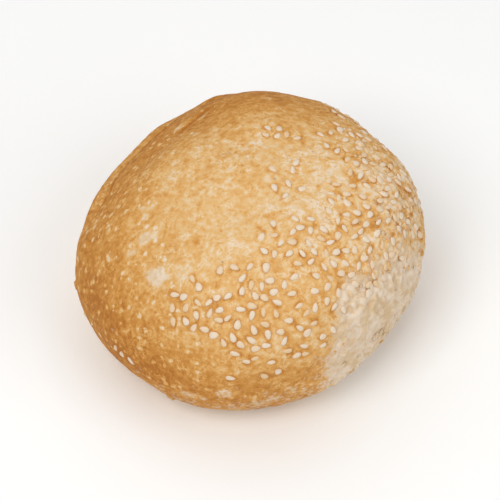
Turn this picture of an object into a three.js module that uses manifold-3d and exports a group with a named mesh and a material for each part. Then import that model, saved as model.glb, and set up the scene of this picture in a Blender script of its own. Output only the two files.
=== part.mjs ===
// Sesame bread roll: a soft, unevenly round roll, resting on its flat base.
// Millimetres, +Z up. The origin is the centre of the base, and the front of the roll faces -Y.
//
// The dough is one star-shaped surface: each direction from a centre inside the roll meets it once.
// A direction is given by its azimuth, in degrees round +Z from +X, and by its tilt away from the crown.
// The sesame seeds are half sunk in the crust, so dough and seeds are one solid.

import * as THREE from "three";
import { mergeVertices } from "three/addons/utils/BufferGeometryUtils.js";
import Module from "manifold-3d";

// Driving dimensions
const ROLL_WIDTH = 105.2;
const ROLL_HEIGHT = 59;
const SEED_LENGTH = 3.1;

// Dough, in millimetres and degrees
const MEAN_RADIUS = ROLL_WIDTH / 2;
const BELLY_HEIGHT = 0.4 * ROLL_HEIGHT; // where the roll is widest
const DOME_HEIGHT = ROLL_HEIGHT - BELLY_HEIGHT;
const HEEL_DEPTH = 1.25 * BELLY_HEIGHT; // more than the belly's height, so that the floor cuts the base flat
const DOME_FULLNESS = 2.2; // exponent of the upper half: 2 is an ellipse, and more is fuller
const HEEL_FULLNESS = 2.5;
const CROWN_SHIFT = new THREE.Vector2(7.5, -2.5); // the crown leans off the middle of the base
const DOUGH_DETAIL = 8; // splits of each edge of the starting icosahedron

// The plan isn't round: each entry makes that many lobes, the first of them at the azimuth.
const LOBES = [
  { count: 2, size: 0.048 * MEAN_RADIUS, azimuth: 69 },
  { count: 3, size: 0.014 * MEAN_RADIUS, azimuth: -22 },
  { count: 4, size: 0.015 * MEAN_RADIUS, azimuth: -2 },
];

// Broad places where the crust stands in (a negative rise) or out, each a soft round or oval patch.
const SWELLS = [
  { name: "pale side at the front right", azimuth: -42, tilt: 90, across: 20, down: 15, rise: -1.6 },
  { name: "corner on the left", azimuth: -167, tilt: 91, across: 7, down: 9, rise: 1.3 },
  { name: "back left fold", azimuth: 140, tilt: 62, across: 16, down: 6, rise: -1.5 },
  { name: "pale side at the back", azimuth: 58, tilt: 92, across: 18, down: 14, rise: -1.6 },
  { name: "shoulder on the right", azimuth: 5, tilt: 52, across: 15, down: 12, rise: 1 },
  { name: "crown dimple", azimuth: -60, tilt: 17, across: 9, down: 7, rise: -0.5 },
  { name: "left dimple", azimuth: -150, tilt: 42, across: 10, down: 9, rise: -0.45 },
  { name: "tuck under the front", azimuth: -88, tilt: 104, across: 16, down: 8, rise: -0.8 },
];

// A slow unevenness all over, as of any dough that has risen by itself
const RIPPLE_COUNT = 7;
const RIPPLE_HEIGHT = 0.22;
const RIPPLE_TURNS = 5.5; // radians of wave for each radius along the ripple's direction
const RIPPLE_TURNS_STEP = 1.3;
const GOLDEN_ANGLE = Math.PI * (3 - Math.sqrt(5));

const SLOPE_STEP = 0.01; // step to either side, in radians, by which the crust's slope is measured
const POLE_NUDGE = 0.001; // keeps the way round the roll defined at the very top and bottom

// Sesame seeds
const SEED_WIDTH = 0.6 * SEED_LENGTH;
const SEED_THICKNESS = 0.31 * SEED_LENGTH;
const SEED_LIFT = 0.25 * SEED_THICKNESS; // its widest level above the crust
const SEED_TAPER = 0.3; // how much narrower it is towards its point
const SEED_SPREAD = 0.1; // share by which lengths differ
const SEED_LEAN = 9; // most that one is tipped out of the crust, in degrees
const SEED_SPACING = 0.9 * SEED_LENGTH; // least distance between two middles
const SEED_SIDES = 7; // one corner at the point, and three pairs
const SEED_BANDS = 2; // a low roof above its widest level, and a deep foot below
const SEED_ROOT = 3 * SEED_THICKNESS; // depth of the hidden foot, which keeps the edges steep at the crust
const MOST_TRIES = 40; // throws for one seed before it is left out
const RANDOM_START = 20517;

const MERGE_WITHIN = 1e-4; // corners closer than this, in millimetres, are one

// Where seeds fell: soft ovals on the crust, at an azimuth and a tilt, their half-sizes in millimetres.
const SPRINKLES = [
  { name: "right flank", azimuth: -11, tilt: 47, across: 23, down: 17, seeds: 56 },
  { name: "right rim", azimuth: 2, tilt: 67, across: 25, down: 8, seeds: 20 },
  { name: "back right shoulder", azimuth: 34, tilt: 43, across: 15, down: 11, seeds: 20 },
  { name: "front right", azimuth: -48, tilt: 53, across: 17, down: 15, seeds: 42 },
  { name: "below the crown", azimuth: -76, tilt: 32, across: 15, down: 8, seeds: 12 },
  { name: "middle", azimuth: -95, tilt: 46, across: 15, down: 6, seeds: 11 },
  { name: "front belt", azimuth: -95, tilt: 62, across: 22, down: 9, seeds: 44 },
  { name: "left end of the belt", azimuth: -122, tilt: 62, across: 7, down: 7, seeds: 6 },
  { name: "under the belt", azimuth: -82, tilt: 72, across: 17, down: 5, seeds: 13 },
  { name: "low front", azimuth: -88, tilt: 80, across: 12, down: 4, seeds: 3 },
  { name: "heel on the left", azimuth: -131, tilt: 92, across: 7, down: 2, seeds: 3 },
  { name: "crown", azimuth: 0, tilt: 6, across: 12, down: 8, seeds: 7 },
  { name: "behind the crown", azimuth: 86, tilt: 29, across: 9, down: 4, seeds: 6 },
  { name: "far side", azimuth: 45, tilt: 68, across: 20, down: 10, seeds: 20 },
  { name: "right of the middle", azimuth: -62, tilt: 38, across: 13, down: 9, seeds: 22 },
  { name: "right of the crown", azimuth: -20, tilt: 34, across: 11, down: 8, seeds: 12 },
];

const radians = THREE.MathUtils.degToRad;

// A unit vector from an azimuth and a tilt in degrees.
function directionAt(azimuth, tilt) {
  const flat = Math.sin(radians(tilt));
  return new THREE.Vector3(
    flat * Math.cos(radians(azimuth)),
    flat * Math.sin(radians(azimuth)),
    Math.cos(radians(tilt)),
  );
}

// The unit vectors that run round the roll and down its side, at an azimuth and a tilt.
function tangentsAt(azimuth, tilt) {
  const around = directionAt(azimuth + 90, 90);
  const down = directionAt(azimuth, tilt + 90);
  return { around, down };
}

// The plan's radius towards an azimuth in radians.
function planRadius(azimuth) {
  return LOBES.reduce(
    (radius, lobe) => radius + lobe.size * Math.cos(lobe.count * (azimuth - radians(lobe.azimuth))),
    MEAN_RADIUS,
  );
}

// How far a soft oval patch pushes the crust along a direction.
function swellRise(swell, direction) {
  const middle = directionAt(swell.azimuth, swell.tilt);
  const { around, down } = tangentsAt(swell.azimuth, swell.tilt);
  const facing = direction.dot(middle);
  if (facing <= 0) return 0;
  const u = (MEAN_RADIUS * direction.dot(around)) / swell.across;
  const v = (MEAN_RADIUS * direction.dot(down)) / swell.down;
  return swell.rise * facing * Math.exp(-(u * u + v * v) / 2);
}

// The slow unevenness: waves that run through the roll along directions spread by the golden angle.
function rippleRise(direction) {
  let rise = 0;
  for (let i = 0; i < RIPPLE_COUNT; i++) {
    const height = 1 - (2 * i + 1) / RIPPLE_COUNT;
    const flat = Math.sqrt(1 - height * height);
    const along =
      direction.x * flat * Math.cos(i * GOLDEN_ANGLE) +
      direction.y * flat * Math.sin(i * GOLDEN_ANGLE) +
      direction.z * height;
    rise += RIPPLE_HEIGHT * Math.sin((RIPPLE_TURNS + i * RIPPLE_TURNS_STEP) * along + i);
  }
  return rise;
}

// The point of the crust in a unit direction from the roll's centre, at belly height.
function crustPoint(direction) {
  const flat = Math.hypot(direction.x, direction.y);
  const upper = direction.z > 0;
  const fullness = upper ? DOME_FULLNESS : HEEL_FULLNESS;
  const depth = upper ? DOME_HEIGHT : HEEL_DEPTH;
  const share = flat / planRadius(Math.atan2(direction.y, direction.x));
  let reach = (share ** fullness + (Math.abs(direction.z) / depth) ** fullness) ** (-1 / fullness);
  reach += rippleRise(direction);
  for (const swell of SWELLS) reach += swellRise(swell, direction);
  const z = Math.max(BELLY_HEIGHT + reach * direction.z, 0);
  const climb = THREE.MathUtils.clamp((z - BELLY_HEIGHT) / DOME_HEIGHT, 0, 1);
  return new THREE.Vector3(
    reach * direction.x + CROWN_SHIFT.x * climb,
    reach * direction.y + CROWN_SHIFT.y * climb,
    z,
  );
}

// A unit vector that runs round the roll from a direction.
function wayRound(direction) {
  return new THREE.Vector3(-direction.y, direction.x, POLE_NUDGE).normalize();
}

// The crust's outward normal in a direction, from the slopes along two ways that cross there.
function crustNormal(direction) {
  const side = wayRound(direction);
  const other = new THREE.Vector3().crossVectors(direction, side).normalize();
  const slope = (way) => {
    const ahead = direction.clone().addScaledVector(way, SLOPE_STEP).normalize();
    const behind = direction.clone().addScaledVector(way, -SLOPE_STEP).normalize();
    return crustPoint(ahead).sub(crustPoint(behind));
  };
  return new THREE.Vector3().crossVectors(slope(side), slope(other)).normalize();
}

// Random numbers from 0 to 1, the same ones each run: each is a multiple of the last, modulo a prime.
function makeRandom(start) {
  const multiplier = 16807;
  const prime = 2147483647;
  let state = start;
  return () => {
    state = (state * multiplier) % prime;
    return state / prime;
  };
}

// Where the seeds lie: in each oval, points thrown evenly, kept where no seed is too close.
function scatterSeeds() {
  const random = makeRandom(RANDOM_START);
  const seeds = [];
  for (const oval of SPRINKLES) {
    const middle = directionAt(oval.azimuth, oval.tilt);
    const { around, down } = tangentsAt(oval.azimuth, oval.tilt);
    for (let wanted = 0; wanted < oval.seeds; wanted++) {
      for (let attempt = 0; attempt < MOST_TRIES; attempt++) {
        const out = Math.sqrt(random());
        const angle = 2 * Math.PI * random();
        const u = oval.across * out * Math.cos(angle);
        const v = oval.down * out * Math.sin(angle);
        const direction = middle
          .clone()
          .addScaledVector(around, u / MEAN_RADIUS)
          .addScaledVector(down, v / MEAN_RADIUS)
          .normalize();
        const point = crustPoint(direction);
        if (seeds.some((seed) => seed.point.distanceTo(point) < SEED_SPACING)) continue;
        seeds.push({
          direction,
          point,
          heading: 2 * Math.PI * random(),
          size: 1 + SEED_SPREAD * (2 * random() - 1),
          pitch: radians(SEED_LEAN) * (2 * random() - 1),
          roll: radians(SEED_LEAN) * (2 * random() - 1),
        });
        break;
      }
    }
  }
  return seeds;
}

// A closed mesh as a solid for joining, with its shared corners merged.
function toSolid(wasm, geometry) {
  const bare = new THREE.BufferGeometry();
  bare.setAttribute("position", geometry.getAttribute("position").clone());
  if (geometry.index) bare.setIndex(geometry.index.clone());
  const merged = mergeVertices(bare, MERGE_WITHIN);
  return new wasm.Manifold(
    new wasm.Mesh({
      numProp: 3,
      vertProperties: new Float32Array(merged.attributes.position.array),
      triVerts: new Uint32Array(merged.index.array),
    }),
  );
}

// A joined solid as a geometry that three.js can draw.
function toGeometry(solid) {
  const mesh = solid.getMesh();
  const geometry = new THREE.BufferGeometry();
  geometry.setAttribute("position", new THREE.BufferAttribute(new Float32Array(mesh.vertProperties), 3));
  geometry.setIndex(new THREE.BufferAttribute(new Uint32Array(mesh.triVerts), 1));
  geometry.computeVertexNormals();
  return geometry;
}

// The bare dough: an icosahedron split evenly, each corner moved out to the crust.
function doughGeometry() {
  const geometry = new THREE.IcosahedronGeometry(1, DOUGH_DETAIL);
  const corners = geometry.getAttribute("position");
  const corner = new THREE.Vector3();
  for (let i = 0; i < corners.count; i++) {
    corner.fromBufferAttribute(corners, i).normalize();
    const point = crustPoint(corner);
    corners.setXYZ(i, point.x, point.y, point.z);
  }
  return geometry;
}

// One seed: a flat drop with steep edges, its point towards -X, at its place in the crust.
function seedGeometry(seed) {
  const geometry = new THREE.SphereGeometry(1, SEED_SIDES, SEED_BANDS);
  const corners = geometry.getAttribute("position");
  for (let i = 0; i < corners.count; i++) {
    const ahead = corners.getX(i);
    const aside = -corners.getZ(i);
    const height = corners.getY(i);
    corners.setXYZ(
      i,
      (ahead * seed.size * SEED_LENGTH) / 2,
      (aside * (1 + SEED_TAPER * ahead) * seed.size * SEED_WIDTH) / 2,
      height * seed.size * (height < 0 ? SEED_ROOT : SEED_THICKNESS / 2),
    );
  }
  const normal = crustNormal(seed.direction);
  const across = new THREE.Vector3().crossVectors(normal, wayRound(seed.direction)).normalize();
  const ahead = new THREE.Vector3().crossVectors(across, normal);
  const place = new THREE.Matrix4()
    .makeBasis(ahead, across, normal)
    .multiply(new THREE.Matrix4().makeRotationZ(seed.heading))
    .multiply(new THREE.Matrix4().makeRotationY(seed.pitch))
    .multiply(new THREE.Matrix4().makeRotationX(seed.roll));
  place.setPosition(seed.point.clone().addScaledVector(normal, SEED_LIFT));
  return geometry.applyMatrix4(place);
}

// The whole roll: dough and seeds joined in one solid.
async function makeRoll() {
  const wasm = await Module();
  wasm.setup();
  const seeds = scatterSeeds().map((seed) => toSolid(wasm, seedGeometry(seed)));
  const solid = wasm.Manifold.union([toSolid(wasm, doughGeometry()), ...seeds]);
  const crust = new THREE.MeshStandardMaterial({ color: 0xd9a45f, roughness: 0.68, metalness: 0 });
  const roll = new THREE.Mesh(toGeometry(solid), crust);
  roll.name = "sesame_roll";
  return roll;
}

const part = new THREE.Group();
part.name = "bread_roll";
part.add(await makeRoll());

export default part;
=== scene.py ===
"""Sesame bread roll: the visible crust, seeds and crumbs of one soft, unevenly round roll.

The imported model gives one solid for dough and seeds. This script lays a detailed crust over the same
formula, sets smooth seeds on the same places, and dresses both. Shapes are worked out in millimetres
and turned to metres where a mesh is made. A direction from the roll's centre is given by its azimuth,
in degrees round +Z from +X, and by its tilt away from the crown.
"""

import logging
import math
from collections.abc import Iterator
from dataclasses import dataclass
from enum import Enum
from functools import partial
from itertools import combinations

import bpy
import numpy as np
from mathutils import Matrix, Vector


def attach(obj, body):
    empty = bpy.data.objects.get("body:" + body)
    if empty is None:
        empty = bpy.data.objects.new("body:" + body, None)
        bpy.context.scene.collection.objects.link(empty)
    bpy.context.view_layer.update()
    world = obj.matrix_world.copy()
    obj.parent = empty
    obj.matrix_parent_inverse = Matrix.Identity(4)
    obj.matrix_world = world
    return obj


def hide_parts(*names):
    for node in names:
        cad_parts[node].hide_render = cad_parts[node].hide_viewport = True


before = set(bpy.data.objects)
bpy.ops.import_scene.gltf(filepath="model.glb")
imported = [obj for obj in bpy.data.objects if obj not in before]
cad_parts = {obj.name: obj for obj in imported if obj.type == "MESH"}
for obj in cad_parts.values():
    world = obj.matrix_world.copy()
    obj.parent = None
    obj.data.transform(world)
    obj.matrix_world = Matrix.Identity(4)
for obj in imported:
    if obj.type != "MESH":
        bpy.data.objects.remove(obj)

LOG = logging.getLogger("bread_roll")
MM = 0.001
BODY = "root"
NODE = "sesame_roll"
MATH = "ShaderNodeMath"
Array = np.ndarray
Pair = tuple[float, float]
Triple = tuple[float, float, float]
Socket = bpy.types.NodeSocket


class Slot(Enum):
    """The record's material slots."""

    CRUST = "crust"
    SESAME = "sesame"


def linear(hex_colour: str) -> tuple[float, float, float, float]:
    """Turn an sRGB hex colour to linear RGBA.

    Args:
        hex_colour: Six hex digits after a hash.

    Returns:
        Red, green, blue and an alpha of one.
    """
    parts = [int(hex_colour[i : i + 2], 16) / 255 for i in (1, 3, 5)]
    straight = [c / 12.92 if c <= 0.04045 else ((c + 0.055) / 1.055) ** 2.4 for c in parts]
    return (straight[0], straight[1], straight[2], 1.0)


def smooth_step(low: float, high: float, value: Array) -> Array:
    """Rise from 0 at low to 1 at high along 3t squared minus 2t cubed."""
    share = np.clip((value - low) / (high - low), 0, 1)
    return share * share * (3 - 2 * share)


def unit(vectors: Array) -> Array:
    """Scale each vector to a length of one."""
    return vectors / np.linalg.norm(vectors, axis=-1, keepdims=True)


def direction_at(azimuth: float | Array, tilt: float | Array) -> Array:
    """Give the unit vector at an azimuth and a tilt in degrees.

    Args:
        azimuth: Degrees round +Z from +X.
        tilt: Degrees away from the crown.

    Returns:
        One unit vector for each pair.
    """
    turn, lean = np.radians(azimuth), np.radians(tilt)
    flat = np.sin(lean)
    return np.stack([flat * np.cos(turn), flat * np.sin(turn), np.cos(lean) + 0 * turn], axis=-1)


def turned(along: Array, aside: Array, angle: float | Array) -> tuple[Array, Array]:
    """Give two crossing measures, or two crossing axes, as seen after a turn by an angle in radians."""
    cosine, sine = np.cos(angle), np.sin(angle)
    return along * cosine + aside * sine, aside * cosine - along * sine


def lattice_noise(points: Array, spacing: float, seed: int) -> Array:
    """Give smooth noise from -1 to 1 at points.

    Each corner of a cubic lattice has a value that large odd numbers mix from its whole-number place,
    and a point blends the eight corners round it along 6t^5 - 15t^4 + 10t^3. The lattice is turned for
    each seed, so that layers don't line up.

    Args:
        points: One row of x, y, z for each point, in millimetres.
        spacing: The lattice's step, in millimetres.
        seed: A whole number that changes the pattern.

    Returns:
        One value for each point.
    """
    a, b = 0.7 + seed, 1.9 * seed + 0.4
    turn = np.array([[math.cos(a), -math.sin(a), 0], [math.sin(a), math.cos(a), 0], [0, 0, 1]])
    roll = np.array([[1, 0, 0], [0, math.cos(b), -math.sin(b)], [0, math.sin(b), math.cos(b)]])
    places = points @ (turn @ roll).T / spacing + 1000
    corner = np.floor(places).astype(np.int64)
    part = places - corner
    fade = part**3 * (part * (part * 6 - 15) + 10)
    total = np.zeros(len(points))
    for step in range(8):
        offset = np.array([step & 1, (step >> 1) & 1, (step >> 2) & 1])
        x, y, z = (corner + offset).T
        key = (x * 374761393 + y * 668265263 + z * 1440662683 + seed * 974634777) & 0xFFFFFFFF
        key = ((key ^ (key >> 13)) * 1274126177) & 0xFFFFFFFF
        key = ((key ^ (key >> 15)) * 2246822519) & 0xFFFFFFFF
        value = ((key ^ (key >> 16)) & 0xFFFF) / 32767.5 - 1
        weight = np.prod(np.where(offset == 1, fade, 1 - fade), axis=1)
        total += value * weight
    return total


@dataclass(frozen=True)
class Noise:
    """Layers of lattice noise: the widest spacing in millimetres, a seed and how many layers."""

    spacing: float
    seed: int
    layers: int = 1

    def at(self, points: Array) -> Array:
        """Add the layers up, each at half the spacing and 0.55 of the height of the last.

        Args:
            points: One row of x, y, z for each point, in millimetres.

        Returns:
            One value from -1 to 1 for each point.
        """
        height, total, whole = 1.0, np.zeros(len(points)), 0.0
        for layer in range(self.layers):
            total += height * lattice_noise(points, self.spacing / 2**layer, self.seed + layer)
            whole += height
            height *= 0.55
        return total / whole


@dataclass(frozen=True)
class Patch:
    """An oval place on the crust: its middle, and its half-sizes round and down in millimetres."""

    azimuth: float
    tilt: float
    across: float
    down: float

    def axes(self) -> tuple[Array, Array, Array]:
        """Give unit vectors out of the roll at the middle, round the roll, and down its side."""
        around, down = direction_at(self.azimuth + 90, 90), direction_at(self.azimuth, self.tilt + 90)
        return direction_at(self.azimuth, self.tilt), around, down

    def thrown(self, out: float | Array, angle: float | Array, radius: float) -> Array:
        """Give the direction at a share of the way out to the edge, at an angle in radians.

        Args:
            out: The share, 0 at the middle and 1 on the edge.
            angle: The angle from the way round the roll.
            radius: The millimetres in one radian.

        Returns:
            One unit vector for each share and angle.
        """
        middle, around, down = self.axes()
        u = np.multiply.outer(self.across * out * np.cos(angle) / radius, around)
        v = np.multiply.outer(self.down * out * np.sin(angle) / radius, down)
        return unit(middle + u + v)


@dataclass(frozen=True)
class Oval(Patch):
    """A soft oval on the crust, and what it adds there."""

    amount: float = 1.0

    def places(self, directions: Array, radius: float) -> tuple[Array, Array, Array]:
        """Give how far directions lie round and down from the middle, in half-sizes, and how they face.

        Args:
            directions: One unit vector a row.
            radius: The millimetres in one radian.

        Returns:
            The measure round, the measure down, and the cosine of the angle from the middle.
        """
        middle, around, down = self.axes()
        u = radius * (directions @ around) / self.across
        v = radius * (directions @ down) / self.down
        return u, v, directions @ middle

    def weight(self, directions: Array, radius: float) -> Array:
        """Give the amount times a bell, exp(-(u^2 + v^2) / 2), on the side that faces the middle."""
        u, v, facing = self.places(directions, radius)
        return np.where(facing > 0, self.amount * facing * np.exp(-(u * u + v * v) / 2), 0)

    def depth(self, directions: Array, radius: float) -> Array:
        """Give how far inside the oval each direction is: 1 at the middle, 0 on its edge."""
        u, v, facing = self.places(directions, radius)
        return np.where(facing > 0, 1 - np.sqrt(u * u + v * v), -9.0)


@dataclass(frozen=True)
class Lobe:
    """One wave of the plan's outline: how many lobes, their size in mean radii, and where one lies."""

    count: int
    size: float
    azimuth: float


@dataclass
class Dough:
    """The smooth dough under the crust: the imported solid's own formula and values."""

    width: float = 105.2
    height: float = 59.0
    belly_share: float = 0.4
    heel_share: float = 1.25
    dome_fullness: float = 2.2
    heel_fullness: float = 2.5
    crown_shift: Pair = (7.5, -2.5)
    lobes: tuple[Lobe, ...] = (Lobe(2, 0.048, 69), Lobe(3, 0.014, -22), Lobe(4, 0.015, -2))
    swells: tuple[Oval, ...] = (
        Oval(-42, 90, 20, 15, -1.6), Oval(-167, 91, 7, 9, 1.3), Oval(140, 62, 16, 6, -1.5),
        Oval(58, 92, 18, 14, -1.6), Oval(5, 52, 15, 12, 1.0), Oval(-60, 17, 9, 7, -0.5),
        Oval(-150, 42, 10, 9, -0.45), Oval(-88, 104, 16, 8, -0.8),
    )
    ripple_count: int = 7
    ripple_height: float = 0.22
    ripple_turns: float = 5.5
    ripple_turns_step: float = 1.3
    slope_step: float = 0.01
    pole_nudge: float = 0.001

    @property
    def radius(self) -> float:
        """The plan's mean radius."""
        return self.width / 2

    @property
    def belly(self) -> float:
        """The height where the roll is widest."""
        return self.belly_share * self.height

    @property
    def dome(self) -> float:
        """The height of the part above the belly."""
        return self.height - self.belly

    def ripples(self, directions: Array) -> Array:
        """Give the slow unevenness: sine waves along seven directions spread by the golden angle.

        Args:
            directions: One unit vector a row.

        Returns:
            The rise in each direction, in millimetres.
        """
        rise = np.zeros(len(directions))
        golden_angle = math.pi * (3 - math.sqrt(5))
        for i in range(self.ripple_count):
            height = 1 - (2 * i + 1) / self.ripple_count
            flat = math.sqrt(1 - height * height)
            way = np.array([flat * math.cos(i * golden_angle), flat * math.sin(i * golden_angle), height])
            turns = self.ripple_turns + i * self.ripple_turns_step
            rise += self.ripple_height * np.sin(turns * (directions @ way) + i)
        return rise

    def points(self, directions: Array) -> Array:
        """Give the crust's points in unit directions from the centre, at belly height.

        The reach is a superellipse of the plan's radius and the depth above or below, plus ripples
        and swells. The floor cuts the base flat, and the crown leans by the climb above the belly.

        Args:
            directions: One unit vector a row.

        Returns:
            One point a row, in millimetres.
        """
        azimuth = np.arctan2(directions[:, 1], directions[:, 0])
        plan = self.radius * np.ones(len(directions))
        for lobe in self.lobes:
            plan += self.radius * lobe.size * np.cos(lobe.count * (azimuth - math.radians(lobe.azimuth)))
        upper = directions[:, 2] > 0
        fullness = np.where(upper, self.dome_fullness, self.heel_fullness)
        depth = np.where(upper, self.dome, self.heel_share * self.belly)
        share = np.hypot(directions[:, 0], directions[:, 1]) / plan
        reach = (share**fullness + (np.abs(directions[:, 2]) / depth) ** fullness) ** (-1 / fullness)
        reach += self.ripples(directions)
        for swell in self.swells:
            reach += swell.weight(directions, self.radius)
        points = reach[:, None] * directions
        points[:, 2] = np.maximum(self.belly + points[:, 2], 0)
        climb = np.clip((points[:, 2] - self.belly) / self.dome, 0, 1)
        points[:, :2] += climb[:, None] * np.array(self.crown_shift)
        return points

    def way_round(self, directions: Array) -> Array:
        """Give unit vectors that run round the roll from directions."""
        way = np.stack([-directions[:, 1], directions[:, 0], np.full(len(directions), self.pole_nudge)], 1)
        return unit(way)

    def normals(self, directions: Array) -> Array:
        """Give outward normals: the cross product of the slopes along two ways that cross.

        Args:
            directions: One unit vector a row.

        Returns:
            One unit vector a row.
        """
        side = self.way_round(directions)
        other = unit(np.cross(directions, side))
        slopes = []
        for way in (side, other):
            ahead = self.points(unit(directions + self.slope_step * way))
            behind = self.points(unit(directions - self.slope_step * way))
            slopes.append(ahead - behind)
        return unit(np.cross(slopes[0], slopes[1]))

    def axes(self, directions: Array) -> tuple[Array, Array, Array]:
        """Give unit vectors ahead and across on the crust, and out of it, in each direction.

        Args:
            directions: One unit vector a row.

        Returns:
            The vectors ahead, across and outwards, one a row.
        """
        normals = self.normals(directions)
        across = unit(np.cross(normals, self.way_round(directions)))
        return np.cross(across, normals), across, normals


@dataclass(frozen=True)
class Sprinkle(Patch):
    """An oval where seeds fell, and how many."""

    seeds: int


@dataclass
class Seeding:
    """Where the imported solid's seeds lie, and their sizes and turns: the same draws, in the same order."""

    dough: Dough
    length: float = 3.1
    spread: float = 0.1
    lean: float = 9.0
    spacing_share: float = 0.9
    lift_share: float = 0.25
    most_tries: int = 40
    random_start: int = 20517
    sprinkles: tuple[Sprinkle, ...] = (
        Sprinkle(-11, 47, 23, 17, 56), Sprinkle(2, 67, 25, 8, 20), Sprinkle(34, 43, 15, 11, 20),
        Sprinkle(-48, 53, 17, 15, 42), Sprinkle(-76, 32, 15, 8, 12), Sprinkle(-95, 46, 15, 6, 11),
        Sprinkle(-95, 62, 22, 9, 44), Sprinkle(-122, 62, 7, 7, 6), Sprinkle(-82, 72, 17, 5, 13),
        Sprinkle(-88, 80, 12, 4, 3), Sprinkle(-131, 92, 7, 2, 3), Sprinkle(0, 6, 12, 8, 7),
        Sprinkle(86, 29, 9, 4, 6), Sprinkle(45, 68, 20, 10, 20), Sprinkle(-62, 38, 13, 9, 22),
        Sprinkle(-20, 34, 11, 8, 12),
    )

    @property
    def width(self) -> float:
        """A seed's width."""
        return 0.6 * self.length

    @property
    def thickness(self) -> float:
        """A seed's thickness."""
        return 0.31 * self.length

    def draws(self) -> Iterator[float]:
        """Give random numbers from 0 to 1: each state is the last times 16807, modulo 2^31 - 1.

        Returns:
            The numbers, without an end.
        """
        multiplier, prime = 16807, 2147483647
        state = self.random_start
        while True:
            state = (state * multiplier) % prime
            yield state / prime

    def scatter(self) -> None:
        """Throw the seeds, and keep each one's point, heading, size, pitch, roll and axes."""
        random = self.draws()
        spacing = self.spacing_share * self.length
        lean = math.radians(self.lean)
        directions, points, turns = [], [], []
        for oval in self.sprinkles:
            for _ in range(oval.seeds):
                for _ in range(self.most_tries):
                    out = math.sqrt(next(random))
                    way = oval.thrown(out, 2 * math.pi * next(random), self.dough.radius)
                    point = self.dough.points(way[None])[0]
                    if points and np.min(np.linalg.norm(np.array(points) - point, axis=1)) < spacing:
                        continue
                    heading = 2 * math.pi * next(random)
                    size = 1 + self.spread * (2 * next(random) - 1)
                    pitch = lean * (2 * next(random) - 1)
                    roll = lean * (2 * next(random) - 1)
                    directions.append(way)
                    points.append(point)
                    turns.append((heading, size, pitch, roll))
                    break
        self.points = np.array(points)
        self.heading, self.size, self.pitch, self.roll = np.array(turns).T
        self.ahead, self.across, self.normals = self.dough.axes(np.array(directions))


# How much wider than at its middle a seed is towards its round end, as a share
DROP_WIDENING = 0.36


def drop_outline(ahead: Array, aside: Array) -> Array:
    """Give how far a place is from a drop's middle, in shares of its edge: 1 on the outline.

    The drop is a circle whose width grows with one plus the widening times ahead, so its point is
    towards -1. Well past both ends the width stays as it is.

    Args:
        ahead: Places along the drop, in half-lengths.
        aside: Places across it, in half-widths.

    Returns:
        The share at each place.
    """
    width = 1 + DROP_WIDENING * np.clip(ahead, -1.3, 1.3)
    return np.sqrt(ahead**2 + (aside / width) ** 2)


@dataclass(frozen=True)
class Pit:
    """A drop-shaped hollow that a lost seed left: its place, its heading in degrees, length and depth."""

    azimuth: float
    tilt: float
    heading: float
    length: float
    depth: float


@dataclass(frozen=True)
class Crease:
    """A fold of the crust along a line of azimuths and tilts.

    The groove has a depth and a half-width, and the crust's colour darkens in it as painted shade. The crust
    below it steps out by the lip, which dies away over its reach, and is paler along the groove, partly as a
    painted highlight. All of it runs out over the taper at each end.
    """

    line: tuple[Pair, ...]
    depth: float
    width: float
    lip: float
    step: float
    reach: float
    pale: float
    taper: float

    def along(self, directions: Array, radius: float) -> tuple[Array, Array, Array]:
        """Give how directions lie to the line.

        Args:
            directions: One unit vector a row.
            radius: The millimetres in one radian.

        Returns:
            The distance to the line, the distance that is positive below it, and a share that falls
            to 0 at both ends.
        """
        best = np.full(len(directions), 1e9)
        side = np.zeros(len(directions))
        corners = [direction_at(azimuth, tilt) for azimuth, tilt in self.line]
        for start, end in zip(corners[:-1], corners[1:]):
            run = end - start
            share = np.clip((directions - start) @ run / (run @ run), 0, 1)
            offset = directions - (start + share[:, None] * run)
            distance = radius * np.linalg.norm(offset, axis=1)
            closer = distance < best
            best = np.where(closer, distance, best)
            side = np.where(closer, np.sign(offset[:, 2]) * -distance, side)
        share = np.ones(len(directions))
        for end in (corners[0], corners[-1]):
            share *= smooth_step(0, self.taper, radius * np.linalg.norm(directions - end, axis=1))
        return best, side, share


def new_object(name: str, data: bpy.types.ID) -> bpy.types.Object:
    """Make an object round its data, and link it to the scene.

    Args:
        name: The object's name.
        data: Its mesh, lamp or camera.

    Returns:
        The object.
    """
    made = bpy.data.objects.new(name, data)
    bpy.context.scene.collection.objects.link(made)
    return made


def new_piece(name: str, points: Array, faces: Array, body: str = BODY) -> bpy.types.Object:
    """Make a smooth mesh object from points in millimetres, and ride it on the body.

    Args:
        name: The piece's name.
        points: One row of x, y, z a corner, or such rows for each of many copies of one shape.
        faces: One row of corner numbers a face; a row of four repeats its last corner for a triangle.
        body: The body that it moves with.

    Returns:
        The object, linked to the scene.
    """
    copies = points.reshape(-1, *points.shape[-2:])
    rows = faces + copies.shape[1] * np.arange(len(copies))[:, None, None]
    rows = [row[:3] if row[-1] == row[-2] else row for row in rows.reshape(-1, 4).tolist()]
    mesh = bpy.data.meshes.new(name)
    mesh.from_pydata((points.reshape(-1, 3) * MM).tolist(), [], rows)
    mesh.validate()
    mesh.shade_smooth()
    piece = new_object(name, mesh)
    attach(piece, body)
    LOG.info("%s: %d corners, %d faces", name, len(mesh.vertices), len(rows))
    return piece


def keep_values(piece: bpy.types.Object, **values: Array) -> None:
    """Store numbers, one a corner, under the names that a material reads.

    Args:
        piece: The object.
        values: The numbers by name.
    """
    for name, numbers in values.items():
        layer = piece.data.attributes.new(name, "FLOAT", "POINT")
        layer.data.foreach_set("value", numbers.astype(np.float32))


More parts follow.
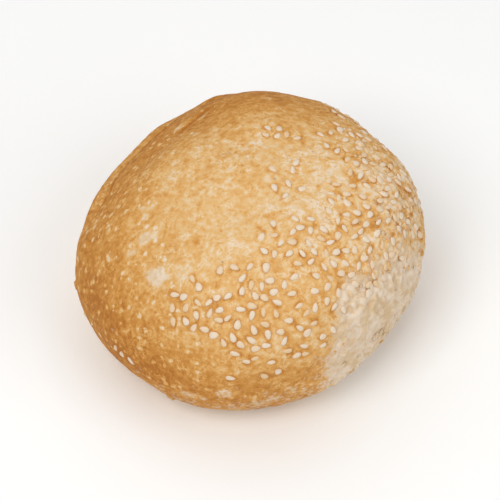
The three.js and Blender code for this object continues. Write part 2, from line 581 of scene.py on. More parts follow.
def add_node(
    tree: bpy.types.NodeTree,
    kind: str,
    inputs: dict | None = None,
    settings: dict | None = None,
    stops: tuple[tuple[float, str], ...] = (),
    out: int | str = 0,
) -> Socket | None:
    """Add a node with its values, links and settings.

    Args:
        tree: The material's node tree.
        kind: The node's type.
        inputs: Sockets by name or number, each given a value or the socket that feeds it.
        settings: Properties by name.
        stops: Places and sRGB hex colours of a colour ramp.
        out: The output to return, by name or number.

    Returns:
        The output, or nothing for a node that has none.
    """
    node = tree.nodes.new(kind)
    for name, value in (settings or {}).items():
        setattr(node, name, value)
    for key, value in (inputs or {}).items():
        if isinstance(value, Socket):
            tree.links.new(value, node.inputs[key])
        else:
            node.inputs[key].default_value = value
    for index, (place, colour) in enumerate(stops):
        elements = node.color_ramp.elements
        element = elements[index] if index < 2 else elements.new(place)
        element.position = place
        element.color = linear(colour)
    return node.outputs[out] if node.outputs else None


def new_material(name: str, preview: str) -> tuple[bpy.types.Material, partial]:
    """Make an empty node material.

    Args:
        name: The finish, in a maker's words.
        preview: An sRGB hex colour for plain views.

    Returns:
        The material, and the function that adds its nodes.
    """
    material = bpy.data.materials.new(name)
    material.use_nodes = True
    material.diffuse_color = linear(preview)
    material.node_tree.nodes.clear()
    return material, partial(add_node, material.node_tree)


class Pattern(Enum):
    """The noises on the crust: size in millimetres, detail and distortion."""

    FRECKLE = (2.1, 2.5, 0.5)
    FLECK = (1.4, 2.0, 0.5)
    MOTTLE = (5.5, 2.5, 0.4)
    GRAIN = (0.6, 1.5, 0.0)
    WRINKLE = (2.6, 2.5, 1.0)
    GAP = (4.5, 1.0, 0.0)
    BEND = (1.3, 2.0, 0.0)


@dataclass(frozen=True)
class CrustFinish:
    """Wheat dough baked golden: starch and sugars browned by the oven's dry heat, dusted with flour.

    The oven gives one scale of colours, from pale dough to brown, that every mark on the crust moves
    along. The skin is matt with a faint soft gloss, and it is mottled, because it dried and stretched
    in a fine web of cracks that show the paler dough. Sizes are in millimetres.
    """

    bake: tuple[tuple[float, str], ...] = (
        (0.0, "#E5D0B6"),
        (0.2, "#E2C49A"),
        (0.36, "#DFB67C"),
        (0.5, "#DAA867"),
        (0.64, "#D09751"),
        (0.8, "#C48741"),
        (1.0, "#B17133"),
    )
    flour_light: str = "#E6D6C3"
    flour_dark: str = "#D9BF9B"
    # Painted shade inside the pinholes
    pinhole_shade: str = "#7A4A20"
    crack_width: float = 0.09
    speck_size: float = 2.4
    speck_bend: float = 1.5
    pinhole_size: float = 8.0
    bump_height: float = 0.2

    def material(self) -> bpy.types.Material:
        """Build the crust's node material.

        Returns:
            The material, which reads the corner values bake, flour, busy and specks.
        """
        material, add = new_material("golden_baked_crust", "#DDAD69")
        map_kind = "ShaderNodeMapRange"
        smooth = {"interpolation_type": "SMOOTHSTEP"}
        times, plus, minus = ({"operation": word} for word in ("MULTIPLY", "MULTIPLY_ADD", "SUBTRACT"))
        place = add("ShaderNodeTexCoord", out="Object")
        corner = {
            name: add("ShaderNodeAttribute", settings={"attribute_name": name}, out="Fac")
            for name in ("bake", "flour", "busy", "specks")
        }
        noises = {}
        for pattern in Pattern:
            size, detail, distortion = pattern.value
            inputs = {"Vector": place, "Scale": 1 / (size * MM), "Detail": detail, "Distortion": distortion}
            noises[pattern] = add("ShaderNodeTexNoise", inputs)
        freckle, fleck, mottle, grain, wrinkle, gap, bend = noises.values()

        # Pale cracks: thin lines where a noise crosses its middle, broken up by a second noise
        away = add(MATH, {0: wrinkle, 1: 0.5}, minus)
        away = add(MATH, {0: away}, {"operation": "ABSOLUTE"})
        line = add(map_kind, {0: away, 1: 0.0, 2: self.crack_width, 3: 1.0, 4: 0.0}, smooth)
        gap = add(map_kind, {0: gap, 1: 0.42, 2: 0.6}, smooth)
        line = add(MATH, {0: line, 1: gap}, times)
        line = add(MATH, {0: line, 1: corner["busy"]}, times)

        # Pale flecks: the noise's peaks alone, so that they are fewer and stronger than the brown between
        peak = add(map_kind, {0: fleck, 1: 0.5, 2: 0.68}, smooth)
        peak = add(MATH, {0: peak, 1: corner["busy"]}, times)

        # Browner spots, where the same noise is lowest
        spot = add(map_kind, {0: fleck, 1: 0.4, 2: 0.28}, smooth)

        # Cream specks of flour and small blisters: at most one in each cell, its edge bent by a noise
        bend_inputs = {0: bend.node.outputs["Color"], 1: (self.speck_bend * MM,) * 3, 2: place}
        bent = add("ShaderNodeVectorMath", bend_inputs, plus)
        cell = {"Vector": bent, "Scale": 1 / (self.speck_size * MM)}
        distance = add("ShaderNodeTexVoronoi", cell, out="Distance")
        chance = add("ShaderNodeSeparateColor", {0: distance.node.outputs["Color"]})
        chance = add(MATH, {0: chance, 1: corner["specks"]}, times)
        reach = add(map_kind, {0: chance, 1: 0.2, 2: 1.0, 3: 0.0, 4: 0.51})
        inside = add(MATH, {0: reach, 1: distance}, minus)
        speck = add(map_kind, {0: inside, 1: 0.0, 2: 0.28}, smooth)

        # Pinholes where bubbles broke, painted dark brown as the shade in each hole
        cell = {"Vector": place, "Scale": 1 / (self.pinhole_size * MM)}
        distance = add("ShaderNodeTexVoronoi", cell, out="Distance")
        hole = add(map_kind, {0: distance, 1: 0.025, 2: 0.055, 3: 0.55, 4: 0.0}, smooth)

        # Each mark's share in the browning and in the height
        marks = (
            (freckle, 0.76, 0.3),
            (mottle, 0.32, 0.0),
            (grain, 0.15, 0.2),
            (line, -0.38, 0.2),
            (peak, -0.22, 0.12),
            (speck, -0.46, 0.3),
            (spot, 0.15, 0.0),
        )
        # The three noises have their middle at a half, which is taken off again
        middle = -0.5 * sum(weight for _, weight, _ in marks[:3])
        bake = add(MATH, {0: corner["bake"], 1: middle}, {"operation": "ADD"})
        for mark, weight, _ in marks:
            bake = add(MATH, {0: mark, 1: weight, 2: bake}, plus)
        baked = add("ShaderNodeValToRGB", {0: bake}, stops=self.bake)

        # Flour and torn crumb: the soft corner value is cut ragged by the noises
        dust = add(MATH, {0: corner["flour"], 1: -1.6}, {"operation": "ADD"})
        for mark, weight in ((freckle, 1.5), (fleck, 1.1), (mottle, 0.6)):
            dust = add(MATH, {0: mark, 1: weight, 2: dust}, plus)
        dust = add(map_kind, {0: dust, 1: 0.28, 2: 0.84, 3: 0.0, 4: 0.92}, smooth)
        mix = {"data_type": "RGBA"}
        tone = add(MATH, {0: mottle, 1: freckle}, {"operation": "ADD"})
        tone = add(map_kind, {0: tone, 1: 0.82, 2: 1.2}, smooth)
        tones = {0: tone, 6: linear(self.flour_light), 7: linear(self.flour_dark)}
        flour = add("ShaderNodeMix", tones, mix, out=2)
        dusted = add("ShaderNodeMix", {0: dust, 6: baked, 7: flour}, mix, out=2)
        bare = add(MATH, {0: dust, 1: -1.0, 2: 1.0}, plus)
        hole = add(MATH, {0: hole, 1: bare}, times)
        holed = add("ShaderNodeMix", {0: hole, 6: dusted, 7: linear(self.pinhole_shade)}, mix, out=2)

        height: Socket | float = 0.0
        for mark, _, weight in (*marks, (hole, 0.0, -0.6)):
            if weight:
                height = add(MATH, {0: mark, 1: weight, 2: height}, plus)
        relief = {"Height": height, "Strength": 0.6, "Distance": self.bump_height * MM}
        bump = add("ShaderNodeBump", relief)
        rough = add(MATH, {0: dust, 1: 0.2, 2: 0.6}, plus)
        rough = add(MATH, {0: grain, 1: 0.14, 2: rough}, plus)
        skin = {"Base Color": holed, "Roughness": rough, "Normal": bump}
        skin |= {"IOR": 1.45, "Specular IOR Level": 0.06}
        skin = add("ShaderNodeBsdfPrincipled", skin)
        add("ShaderNodeOutputMaterial", {"Surface": skin})
        return material


BACK_LEFT_FOLD = ((116, 71), (130, 73), (144, 75), (156, 76), (165, 74.5), (178, 78.5))
BACK_HEEL_FOLD = ((112, 108), (95, 106), (78, 109), (62, 107), (44, 110), (25, 108), (8, 111))


@dataclass
class Crust:
    """The roll's visible skin: the dough's own form with wrinkles, torn sides, folds and seed sockets."""

    dough: Dough
    seeding: Seeding
    steps: int = 126
    base_pull: float = 25.0
    wave_height: float = 0.3
    wrinkle_heights: Triple = (0.08, 0.14, 0.1)
    lump_heights: Pair = (0.8, 0.6)
    grit_height: float = 0.35
    torn_edge: Noise = Noise(7.0, 3, 3)
    wrinkle_lines: Noise = Noise(2.6, 21, 2)
    lumps: Noise = Noise(2.4, 31, 2)
    grit: Noise = Noise(1.35, 41)
    waves: Noise = Noise(8.0, 51, 2)
    fold_wobble: Noise = Noise(6.0, 61)
    bake_clouds: Noise = Noise(14.0, 71, 2)
    spot_edge: Noise = Noise(1.8, 81)
    heel_dust: Noise = Noise(3.5, 91)
    busy_clouds: Noise = Noise(9.0, 101)
    low_blotches: Noise = Noise(5.0, 111, 2)
    crumbly_blotches: Noise = Noise(2.2, 121, 2)
    floor_edge: Pair = (0.0, 1.2)
    blotchy_below: Pair = (24.0, 6.0)
    dusty_below: Pair = (18.0, 5.0)
    specked_below: Pair = (36.0, 20.0)
    specked_left_of: Pair = (5.0, -28.0)
    bare_crown: Pair = (59.0, 48.0)
    seed_half_size: float = 0.36
    socket_depth: float = 0.04
    socket_reach: float = 0.5
    rim_height: float = 0.06
    rim_gap: float = 0.9
    halo_and_shadow_reach: float = 0.65
    torn: tuple[Oval, ...] = (
        Oval(-37, 91, 24, 27), Oval(-52, 66, 8, 8), Oval(60, 93, 22, 19),
    )
    # Ovals of browning; the one at azimuth -92 also darkens the front of the heel as painted shade
    browned_and_shaded: tuple[Oval, ...] = (
        Oval(-172, 80, 34, 20, 0.25), Oval(150, 68, 26, 11, 0.14), Oval(97, 60, 36, 13, 0.42),
        Oval(-138, 88, 22, 12, 0.24), Oval(-92, 101, 44, 12, 0.54), Oval(-30, 20, 14, 9, -0.1),
        Oval(-112, 42, 16, 12, -0.05), Oval(-98, 62, 24, 9, 0.04), Oval(10, 80, 24, 10, 0.12),
        Oval(110, 92, 30, 14, 0.2),
    )
    pale_spots: tuple[Oval, ...] = (
        Oval(-138, 61.5, 3.9, 3.6, 0.8), Oval(-129, 54.8, 2.8, 2.6, 0.5),
        Oval(-157, 56.5, 2.3, 3.6, 0.62), Oval(-167.5, 55, 1.5, 1.5, 0.55),
        Oval(-173.5, 55.2, 1.0, 1.0, 0.6), Oval(-171.5, 51.8, 1.1, 0.9, 0.6),
        Oval(-155, 63.5, 1.2, 1.8, 0.55), Oval(-97.5, 90.5, 3.6, 2.4, 0.6),
        Oval(-108, 94, 4.0, 1.6, 0.55), Oval(128.5, 63.5, 3.0, 1.1, 0.55),
        Oval(120.5, 58.5, 2.6, 0.7, 0.55), Oval(133.5, 49, 1.8, 1.2, 0.5),
        Oval(91, 55.5, 2.4, 1.2, 0.5), Oval(-84, 104, 36, 12, 0.42),
    )
    crumbly: tuple[Oval, ...] = (
        Oval(-2, 58, 24, 18, 1.0), Oval(-40, 62, 14, 10, 0.7), Oval(20, 22, 13, 8, 0.45),
    )
    wrinkled: tuple[Oval, ...] = (
        Oval(-7, 26, 12, 6, 1.0), Oval(45, 17, 9, 5, 0.8), Oval(-38, 31, 9, 5, 0.8),
        Oval(-73, 23, 8, 5, 0.6), Oval(130, 24, 12, 6, 0.55),
    )
    creases: tuple[Crease, ...] = (
        Crease(((110, 62), (117, 61.2), (125.5, 60.2), (135, 60.6)), 0.5, 0.6, 0.2, 2.4, 1.5, 0.2, 6),
        Crease(BACK_LEFT_FOLD, 0.3, 0.6, 1.9, 5.5, 6, 0.35, 12),
        Crease(BACK_HEEL_FOLD, 0.8, 0.9, 0.5, 2.4, 2.5, 0.7, 8),
    )
    pits: tuple[Pit, ...] = (
        Pit(-53, 31, 20, 3.0, 0.25), Pit(-103, 29.5, 160, 3.2, 0.22), Pit(-51, 47, 150, 3.0, 0.3),
        Pit(-97.5, 22.5, 10, 3.2, 0.15), Pit(-114.5, 54, 170, 4.0, 0.25), Pit(-136, 45, 150, 3.2, 0.15),
        Pit(136, 25, 0, 1.1, 0.3), Pit(153, 17, 0, 1.0, 0.3), Pit(161, 22, 0, 1.0, 0.3),
        Pit(-130, 36, 0, 1.1, 0.3), Pit(-104, 70, 0, 1.0, 0.3), Pit(-72, 41, 30, 2.8, 0.2),
        Pit(1, 35, 100, 2.8, 0.2),
    )

    def directions(self) -> tuple[Array, Array]:
        """Spread corners over the sphere: six square grids wrapped round it, their edges shared.

        A grid line is the tangent of evenly stepped angles, which keeps the squares alike. Then each
        tilt is eased towards the crown, so the flat base has fewer squares than the sides.

        Returns:
            One unit direction a corner, and four corner numbers a face.
        """
        n = self.steps
        i, j = np.indices((n + 1, n + 1)).reshape(2, -1)
        cells = np.arange((n + 1) ** 2).reshape(n + 1, n + 1)
        square = np.stack([cells[:-1, :-1], cells[1:, :-1], cells[1:, 1:], cells[:-1, 1:]], -1).reshape(-1, 4)
        places, faces = [], []
        for axis in range(3):
            for end in (0, n):
                outwards = square if end else square[:, ::-1]
                faces.append(outwards + len(i) * len(places))
                places.append(np.roll(np.stack([np.full_like(i, end), i, j], 1), axis, axis=1))
        lattice = np.concatenate(places)
        keys = (lattice[:, 0] * (n + 1) + lattice[:, 1]) * (n + 1) + lattice[:, 2]
        _, first, which = np.unique(keys, return_index=True, return_inverse=True)
        cube = np.tan(math.pi / 4 * (2 * lattice[first] / n - 1))
        ways = unit(cube)
        tilt = np.arccos(np.clip(ways[:, 2], -1, 1))
        eased = tilt - math.radians(self.base_pull) * np.sin(tilt) * (1 - np.cos(tilt)) / 2
        azimuth = np.degrees(np.arctan2(ways[:, 1], ways[:, 0]))
        return direction_at(azimuth, np.degrees(eased)), which.ravel()[np.concatenate(faces)]

    def seed_sockets(self, points: Array) -> tuple[Array, Array]:
        """Give the crust's sinking round the seeds, and its browning and painted shadow round them.

        The halo is browning all round and a painted shadow that is stronger on one side, which a multiple of
        the seed's heading picks. Distances from a seed's edge are shares of its outline times its mean
        half-size.

        Args:
            points: The smooth crust's points.

        Returns:
            The push along the normal, in millimetres, and a halo of browning and painted shadow from 0 to 1.
        """
        push, halo_and_painted_shadow = np.zeros((2, len(points)))
        seeds = self.seeding
        for k in range(len(seeds.points)):
            offset = points - seeds.points[k]
            near = np.einsum("ij,ij->i", offset, offset) < (1.3 * seeds.length) ** 2
            local = offset[near]
            turn = seeds.heading[k]
            ahead, aside = turned(local @ seeds.ahead[k], local @ seeds.across[k], turn)
            ahead = ahead / (seeds.size[k] * seeds.length / 2)
            aside = aside / (seeds.size[k] * seeds.width / 2)
            gap = (drop_outline(ahead, aside) - 1) * self.seed_half_size * seeds.length
            outside = np.maximum(gap, 0)
            push[near] -= self.socket_depth * np.exp(-((outside / self.socket_reach) ** 2))
            push[near] += self.rim_height * np.exp(-(((gap - self.rim_gap) / self.socket_reach) ** 2))
            # Painted shadow: the halo is darkest on one side of each seed
            painted_shadow_side = 0.55 + 0.45 * np.cos(np.arctan2(aside, ahead) - 5 * turn)
            halo_and_painted_shadow[near] = np.maximum(halo_and_painted_shadow[near], painted_shadow_side * np.exp(-((outside / self.halo_and_shadow_reach) ** 2)))
        return push, halo_and_painted_shadow

    def pit_marks(self, points: Array) -> tuple[Array, Array]:
        """Give the hollows of lost seeds and broken bubbles: their push, and how much darker they are.

        Args:
            points: The smooth crust's points.

        Returns:
            The push along the normal, in millimetres, and a darkening from 0 to 1.
        """
        push, darker = np.zeros((2, len(points)))
        for pit in self.pits:
            way = direction_at(pit.azimuth, pit.tilt)[None]
            ahead, across, _ = self.dough.axes(way)
            offset = points - self.dough.points(way)
            along, aside = turned(offset @ ahead[0], offset @ across[0], math.radians(pit.heading))
            along = along / (pit.length / 2)
            aside = aside / (0.3 * pit.length + 0.2)
            reach = np.exp(-(drop_outline(along, aside) ** 3))
            near = np.linalg.norm(offset, axis=1) < 4 * pit.length
            push -= np.where(near, pit.depth * reach, 0)
            darker = np.maximum(darker, np.where(near, reach, 0))
        return push, darker

    def folds(self, ways: Array, points: Array) -> tuple[Array, Array]:
        """Give the folds' push along the normal, in millimetres, and how much darker each place is: painted
        shade in the grooves, a painted highlight on the lips.

        Args:
            ways: One unit vector a row.
            points: The smooth crust's points in those directions.

        Returns:
            The push, and the browning, which is below 0 where a lip is pale.
        """
        push, darker = np.zeros((2, len(points)))
        wobble = 0.5 * self.fold_wobble.at(points)
        for crease in self.creases:
            distance, side, share = crease.along(ways, self.dough.radius)
            groove = share * np.exp(-(((distance + wobble) / crease.width) ** 2))
            below = side + wobble
            beyond = np.maximum(below - 0.8 * crease.step, 0)
            lip = smooth_step(-0.4, crease.step, below) * np.exp(-((beyond / crease.reach) ** 2))
            push += crease.lip * share * lip - crease.depth * groove
            # Painted shade in the groove, less a paler band below it that is partly a painted highlight on
            # the lip
            darker += groove - crease.pale * share * np.exp(-(((below - 2) / 1.4) ** 2))
        return push, darker

    def strongest(self, ovals: tuple[Oval, ...], ways: Array) -> Array:
        """Give the largest of the ovals' weights in each direction."""
        return np.max([oval.weight(ways, self.dough.radius) for oval in ovals], axis=0)

    def build(self) -> bpy.types.Object:
        """Build the crust's mesh and its corner values.

        Returns:
            The crust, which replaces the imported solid.
        """
        ways, faces = self.directions()
        points, normals = self.dough.points(ways), self.dough.normals(ways)
        radius, height = self.dough.radius, points[:, 2]
        on_floor = 1 - smooth_step(*self.floor_edge, height)

        # Where the crust is torn, crumbly and wrinkled
        ragged = 0.13 * self.torn_edge.at(points)
        depths = [oval.depth(ways, radius) + ragged for oval in self.torn]
        torn = np.max([smooth_step(-0.42, 0.28, depth) for depth in depths], axis=0)
        crumbly, wrinkled = self.strongest(self.crumbly, ways), self.strongest(self.wrinkled, ways)

        # Relief along the normal: waves and wrinkles, then the lumps and grit of torn and crumbly crust
        wrinkle = 1 - 2 * np.abs(self.wrinkle_lines.at(points))
        lumps, grit = self.lumps.at(points), self.grit.at(points)
        relief = self.wave_height * self.waves.at(points)
        for share, rise in zip((1, crumbly, wrinkled), self.wrinkle_heights):
            relief += rise * share * wrinkle
        for share, rise in zip((torn, crumbly), self.lump_heights):
            relief += share * (rise * lumps + self.grit_height * grit)
        socket_push, halo_and_painted_shadow = self.seed_sockets(points)
        pit_push, pit_darkening = self.pit_marks(points)
        # The folds bring painted shade in the grooves and a partly painted highlight on the lips
        fold_push, fold_shade_and_highlight = self.folds(ways, points)
        relief = relief * (1 - 0.7 * halo_and_painted_shadow) + socket_push + pit_push + fold_push
        relief *= 1 - on_floor
        placed = points + relief[:, None] * normals
        placed[:, 2] = np.where(height <= 0, 0, np.maximum(placed[:, 2], 0))

        # Browning, from 0 for pale dough to 1, which also carries painted shade and painted highlight
        bake = 0.42 + 0.05 * self.bake_clouds.at(points)
        for oval in self.browned_and_shaded:
            bake += oval.weight(ways, radius)
        # The halo paints browning and a one-sided shadow round each seed
        bake += 0.3 * halo_and_painted_shadow * (1 - 0.5 * torn) + 0.32 * pit_darkening + 0.4 * fold_shade_and_highlight + 0.2 * on_floor
        bake += 0.36 * smooth_step(*self.blotchy_below, height) * self.low_blotches.at(points)
        bake += 0.65 * crumbly * self.crumbly_blotches.at(points)

        # Flour and bare crumb, from 0 to 1
        flour = torn.copy()
        for oval in self.pale_spots:
            edge = oval.depth(ways, radius) + 0.25 * self.spot_edge.at(points)
            flour = np.maximum(flour, oval.amount * smooth_step(-0.35, 0.5, edge))
            bake -= 0.16 * smooth_step(-0.5, 0.4, edge)
        heel = smooth_step(*self.dusty_below, height) * (1 - 0.7 * on_floor)
        for dust in (
            heel * (0.5 + 0.2 * self.heel_dust.at(points)),
            crumbly * (0.45 + 0.3 * lumps),
            wrinkled * (0.3 + 0.3 * lumps),
        ):
            flour = np.maximum(flour, dust)

        # How busy with cracks and flecks it is, and how many specks it has
        busy = 0.55 + 0.35 * crumbly + 0.7 * wrinkled + 0.2 * self.busy_clouds.at(points)
        left = smooth_step(*self.specked_left_of, points[:, 0]) * smooth_step(*self.bare_crown, height)
        low = 0.8 * smooth_step(*self.specked_below, height)
        specks = 0.35 + 0.77 * np.maximum(left, low)

        crust = new_piece("crust", placed, faces)
        keep_values(crust, bake=bake, flour=flour, busy=busy, specks=specks)
        crust.data.materials.append(CrustFinish().material())
        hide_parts(NODE)
        return crust


@dataclass(frozen=True)
class SesameFinish:
    """Hulled sesame, toasted on the roll: a smooth waxy seed coat, cream with tan points, and tan painted on
    the lower rim as shade.
    """

    cream: str = "#E4D3BC"
    toasted: str = "#DFBF94"
    # Tan of each seed's point, also painted on its lower rim as shade
    point: str = "#D29C5C"
    roughness: float = 0.55
    grain_size: float = 0.5

    def material(self) -> bpy.types.Material:
        """Build the seeds' node material.

        Returns:
            The material, which reads two corner values: the toast, and the tan of the point and of the
            painted shade on the lower rim.
        """
        material, add = new_material("hulled_sesame", self.cream)
        place = add("ShaderNodeTexCoord", out="Object")
        corner = {
            name: add("ShaderNodeAttribute", settings={"attribute_name": name}, out="Fac")
            for name in ("toast", "tip")
        }
        grain = add("ShaderNodeTexNoise", {"Vector": place, "Scale": 1 / (self.grain_size * MM)})
        colour: Socket | tuple = linear(self.cream)
        for share, other in ((corner["toast"], self.toasted), (corner["tip"], self.point)):
            shade = {0: share, 6: colour, 7: linear(other)}
            colour = add("ShaderNodeMix", shade, {"data_type": "RGBA"}, out=2)
        bump = add("ShaderNodeBump", {"Height": grain, "Strength": 0.5, "Distance": 0.06 * MM})
        coat = {"Base Color": colour, "Roughness": self.roughness, "IOR": 1.47, "Normal": bump}
        coat = add("ShaderNodeBsdfPrincipled", coat)
        add("ShaderNodeOutputMaterial", {"Surface": coat})
        return material


@dataclass
class SesameSeeds:
    """The seeds on the crust, each a plump drop with a rounded top and a hidden root."""

    seeding: Seeding
    sides: int = 12
    levels: tuple[float, ...] = (28.0, 58.0, 88.0, 125.0)
    bluntness: float = 0.75
    peak: float = 0.05
    root: float = 0.75
    slim: float = 0.94
    plump_spread: float = 0.22
    covered_share: float = 0.2
    covered_depth: float = 0.3
    bare_depth: float = 0.17
    depth_spread: float = 0.12
    random_start: int = 4107

    def shape(self) -> tuple[Array, Array]:
        """Work out one seed as rings of a drop's outline, closed by a point above and below.

        A ring at an angle from the top is as wide as the sine to the power of the bluntness, and as
        high as the cosine. The drop widens ahead, as its outline does, so that its point is towards -1.

        Returns:
            Its corners in half-lengths, half-widths and half-thicknesses, and its faces.
        """
        turn = np.linspace(0, 2 * math.pi, self.sides, endpoint=False)
        angle = np.radians(self.levels)[:, None]
        reach = np.sin(angle) ** self.bluntness
        ahead = reach * np.cos(turn)
        aside = reach * np.sin(turn) * (1 + DROP_WIDENING * np.cos(turn))
        height = np.cos(angle) * np.ones_like(turn)
        rings = np.stack([ahead, aside, height], -1).reshape(-1, 3)
        corners = np.concatenate([rings, [[self.peak, 0, 1.0]], [[self.peak, 0, -1.0]]])
        i = np.arange(self.sides)
        after, last = (i + 1) % self.sides, self.sides * (len(self.levels) - 1)
        top, bottom = 0 * i + len(rings), 0 * i + len(rings) + 1
        faces = []
        for high in range(0, last, self.sides):
            low = high + self.sides
            faces.append((high + i, low + i, low + after, high + after))
        faces += [(i, after, top, top), (last + after, last + i, bottom, bottom)]
        return corners, np.concatenate([np.stack(band, 1) for band in faces])

    def build(self) -> None:
        """Set every seed at its place, and join them in one piece."""
        seeds = self.seeding
        corners, faces = self.shape()
        chance = np.random.default_rng(self.random_start)
        count = len(seeds.points)
        toast = chance.beta(1.3, 3.2, count)
        covered = chance.random(count) < self.covered_share
        toast = np.where(covered, 0.75 + 0.25 * chance.random(count), toast)
        depth = np.where(covered, self.covered_depth, self.bare_depth)
        depth = depth + self.depth_spread * chance.random(count)
        plump = self.slim * (1 + self.plump_spread * (2 * chance.random(count) - 1))
        along = corners[None, :, 0] * seeds.size[:, None] * seeds.length / 2
        aside = corners[None, :, 1] * (seeds.size * plump)[:, None] * seeds.width / 2
        half = np.where(corners[:, 2] < 0, self.root, seeds.thickness / 2)
        tall = corners[None, :, 2] * seeds.size[:, None] * half[None, :]
        aside, tall = turned(aside, tall, -seeds.roll[:, None])
        along, tall = turned(along, tall, seeds.pitch[:, None])
        along, aside = turned(along, aside, -seeds.heading[:, None])
        lift = seeds.lift_share * seeds.thickness - depth
        points = (seeds.points + lift[:, None] * seeds.normals)[:, None]
        for measure, axis in ((along, seeds.ahead), (aside, seeds.across), (tall, seeds.normals)):
            points = points + measure[..., None] * axis[:, None]
        piece = new_piece("sesame_seeds", points, faces)
        # Tan at the point, and on the lower rings as painted shade round the seed's foot
        tip = np.maximum(smooth_step(-0.55, -1.0, corners[:, 0]), smooth_step(0.6, -0.3, corners[:, 2]))
        keep_values(piece, toast=np.repeat(toast, len(corners)), tip=np.tile(tip, count))
        piece.data.materials.append(SesameFinish().material())
        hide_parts(NODE)


@dataclass(frozen=True)
class Litter(Patch):
    """An oval where crumbs stuck: how many, and their size in millimetres, bake and flour."""

    count: int
    size: float
    bake: float
    flour: float


@dataclass
class Crumbs:
    """Loose crumbs and shreds of crust that stuck to the roll: small knobbly lumps, half sunk."""

    dough: Dough
    random_start: int = 914
    spread: float = 0.35
    lengthening: float = 0.7
    flatness: float = 0.52
    smallest_knob: float = 0.72
    knob_spread: float = 0.5
    bake_spread: float = 0.12
    flour_spread: float = 0.1
    floor_gap: float = 0.02
    litters: tuple[Litter, ...] = (
        Litter(-36, 99, 30, 10, 100, 1.05, 0.3, 1.0), Litter(-34, 76, 18, 8, 10, 0.7, 0.4, 0.6),
        Litter(-4, 62, 26, 15, 160, 0.8, 0.42, 0.45), Litter(-44, 62, 12, 8, 30, 0.7, 0.42, 0.45),
        Litter(30, 50, 14, 16, 40, 1.0, 0.3, 0.3), Litter(60, 92, 20, 17, 90, 1.0, 0.3, 0.9),
        Litter(-150, 75, 22, 22, 20, 0.7, 0.3, 0.1), Litter(-167.5, 93, 0.5, 0.5, 2, 2.5, 0.7, 0.0),
        Litter(-158, 97, 0.8, 0.8, 2, 2.2, 0.4, 0.3), Litter(-117.5, 104.5, 0.6, 0.6, 2, 2.3, 0.5, 0.3),
        Litter(-30, 106, 26, 4, 44, 1.4, 0.46, 0.35), Litter(-8, 97, 10, 6, 16, 1.5, 0.42, 0.5),
    )

    def lump(self) -> tuple[Array, Array]:
        """Work out a plain lump: the twelve corners and twenty faces of an icosahedron.

        The corners are the even turns of (0, 1, golden ratio) with either sign, and a face is any
        three corners that lie one edge apart.

        Returns:
            Corners at a distance of one, and faces that turn outwards.
        """
        golden = (1 + math.sqrt(5)) / 2
        signs = [(a, b) for a in (-1, 1) for b in (-1, 1)]
        corners = np.array([np.roll((0, a, b * golden), turn) for turn in range(3) for a, b in signs])
        near = np.abs(np.linalg.norm(corners[:, None] - corners[None], axis=2) - 2) < 0.01
        faces = []
        for i, j, k in combinations(range(len(corners)), 3):
            if near[i, j] and near[j, k] and near[i, k]:
                outwards = np.linalg.det(corners[[i, j, k]]) > 0
                faces.append((i, j, k, k) if outwards else (i, k, j, j))
        return unit(corners), np.array(faces)

    def build(self, material: bpy.types.Material) -> None:
        """Scatter the crumbs and join them in one piece.

        Args:
            material: The crust's material.
        """
        chance = np.random.default_rng(self.random_start)
        corners, faces = self.lump()
        blocks, values = [], []
        for litter in self.litters:
            count = litter.count
            out, angle = np.sqrt(chance.random(count)), 2 * math.pi * chance.random(count)
            ways = litter.thrown(out, angle, self.dough.radius)
            ahead, across, normals = self.dough.axes(ways)
            first, second = turned(ahead, across, 2 * math.pi * chance.random(count)[:, None])
            size = litter.size / 2 * np.exp(self.spread * chance.standard_normal(count))
            long = 1 + self.lengthening * chance.random(count)
            knobs = self.smallest_knob + self.knob_spread * chance.random((count, len(corners)))
            local = corners[None] * (knobs * size[:, None])[..., None]
            place = self.dough.points(ways)[:, None]
            for k, axis in enumerate((long[:, None] * first, second, self.flatness * normals)):
                place = place + local[..., k, None] * axis[:, None]
            blocks.append(place)
            bake = litter.bake + self.bake_spread * chance.standard_normal(count)
            flour = litter.flour + self.flour_spread * chance.standard_normal(count)
            values.append(np.stack([bake, flour], 1))
        points = np.concatenate(blocks)
        bake, flour = np.repeat(np.concatenate(values), len(corners), axis=0).T
        points[..., 2] = np.maximum(points[..., 2], self.floor_gap)
        piece = new_piece("crust_crumbs", points, faces)
        keep_values(piece, bake=bake, flour=flour, busy=np.full(len(bake), 0.5), specks=np.zeros(len(bake)))
        piece.data.materials.append(material)


@dataclass(frozen=True)
class SoftLight:
    """A square white studio light: where it hangs, in metres, its side and its power."""

    name: str
    place: Triple
    side: float
    power: float


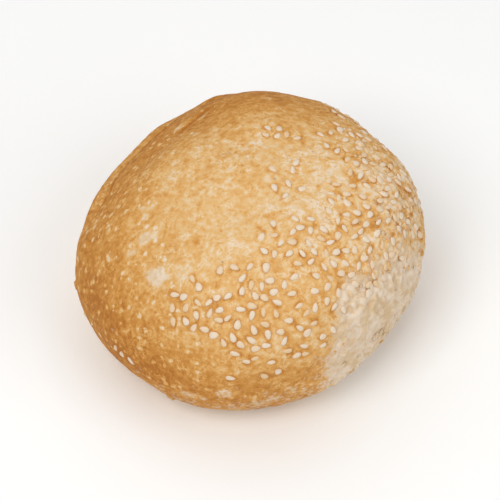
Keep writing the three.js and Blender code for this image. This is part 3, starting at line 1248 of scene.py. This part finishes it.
@dataclass
class Studio:
    """A plain white floor, soft light and the camera at the photograph's angle."""

    elevation: float = 50.0
    distance: float = 0.735
    lens: float = 174.6
    sensor: float = 36.0
    target: Triple = (0.0, -0.0012, 0.0245)
    lit_point: Triple = (0.0, 0.0, 0.03)
    sky: float = 0.38
    floor_size: float = 3.0
    floor_colour: str = "#FBFBFA"
    lights: tuple[SoftLight, ...] = (
        SoftLight("key_light", (-0.4, -0.55, 0.9), 0.6, 5.2),
        SoftLight("side_light", (0.75, -0.45, 0.75), 0.8, 3.3),
        SoftLight("overhead_light", (-0.15, 0.5, 1.15), 1.4, 5.0),
    )

    def build_floor(self) -> None:
        """Lay a wide matt white floor at the roll's foot."""
        half = self.floor_size / 2
        mesh = bpy.data.meshes.new("studio_floor")
        corners = [(-half, -half, 0), (half, -half, 0), (half, half, 0), (-half, half, 0)]
        mesh.from_pydata(corners, [], [(0, 1, 2, 3)])
        floor = new_object("studio_floor", mesh)
        material, add = new_material("matt_white_floor", self.floor_colour)
        paint = {"Base Color": linear(self.floor_colour), "Roughness": 0.9, "Specular IOR Level": 0.1}
        paint = add("ShaderNodeBsdfPrincipled", paint)
        add("ShaderNodeOutputMaterial", {"Surface": paint})
        mesh.materials.append(material)

    def build_lights(self) -> None:
        """Hang the soft lights, and make the sky an even white."""
        for light in self.lights:
            lamp = bpy.data.lights.new(light.name, "AREA")
            lamp.shape = "SQUARE"
            lamp.size = light.side
            lamp.energy = light.power
            holder = new_object(light.name, lamp)
            holder.location = light.place
            aim = Vector(self.lit_point) - Vector(light.place)
            holder.rotation_euler = aim.to_track_quat("-Z", "Y").to_euler()
        world = bpy.data.worlds.new("even_white_sky")
        world.use_nodes = True
        world.node_tree.nodes.clear()
        sky = {"Color": linear("#FFFFFF"), "Strength": self.sky}
        sky = add_node(world.node_tree, "ShaderNodeBackground", sky)
        add_node(world.node_tree, "ShaderNodeOutputWorld", {"Surface": sky})
        bpy.context.scene.world = world

    def build_camera(self) -> None:
        """Set the camera in front of the roll, looking down at the photograph's angle."""
        lean = math.radians(self.elevation)
        eye = bpy.data.cameras.new("camera")
        eye.lens = self.lens
        eye.sensor_width = self.sensor
        eye.clip_start = 0.01
        eye.clip_end = 20
        camera = new_object("camera", eye)
        target = Vector(self.target)
        camera.location = target + self.distance * Vector((0, -math.cos(lean), math.sin(lean)))
        camera.rotation_euler = (target - camera.location).to_track_quat("-Z", "Y").to_euler()
        bpy.context.scene.camera = camera

    def build(self) -> None:
        """Build the whole studio."""
        self.build_camera()
        self.build_floor()
        self.build_lights()
        bpy.context.scene.view_settings.view_transform = "Standard"
        bpy.context.scene.view_settings.look = "None"


def main() -> None:
    """Build the studio and every piece."""
    logging.basicConfig(level=logging.INFO, format="%(name)s: %(message)s")
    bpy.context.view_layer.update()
    Studio().build()
    dough = Dough()
    seeding = Seeding(dough)
    seeding.scatter()
    LOG.info("%d seeds", len(seeding.points))
    crust = Crust(dough, seeding).build()
    SesameSeeds(seeding).build()
    Crumbs(dough).build(crust.data.materials[0])


if __name__ == "__main__":
    main()
